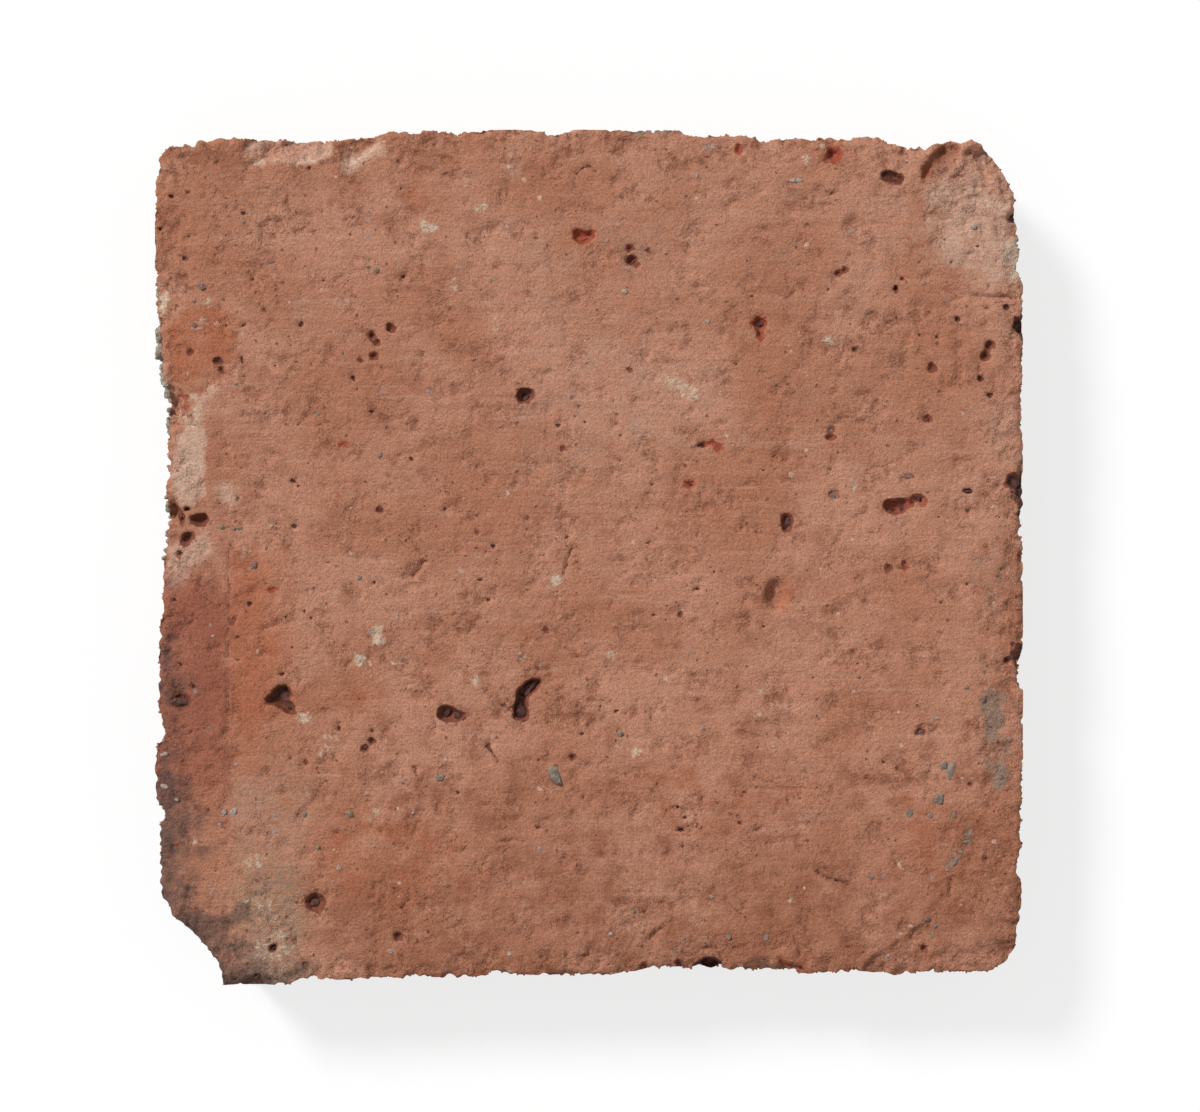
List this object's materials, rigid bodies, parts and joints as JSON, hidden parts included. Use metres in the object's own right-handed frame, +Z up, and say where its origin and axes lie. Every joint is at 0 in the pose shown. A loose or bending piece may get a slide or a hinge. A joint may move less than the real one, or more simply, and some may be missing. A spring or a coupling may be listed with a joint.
{
  "type": "terracotta floor tile",
  "caption": "Square handmade terracotta floor tile, old and worn, with stone voids in its face, chipped edges and a broken corner.",
  "frame": {"origin": "under the middle of the tile, on the plane of its flat underside", "axes": "+Z up through the worn face, +X and +Y along the sides, +Y towards the side that is uppermost in the picture"},
  "size_m": [0.1997, 0.1968, 0.025],
  "materials": {
    "terracotta": "matte"
  },
  "bodies": {
    "root": {"tile": "terracotta"}
  },
  "joints": []
}
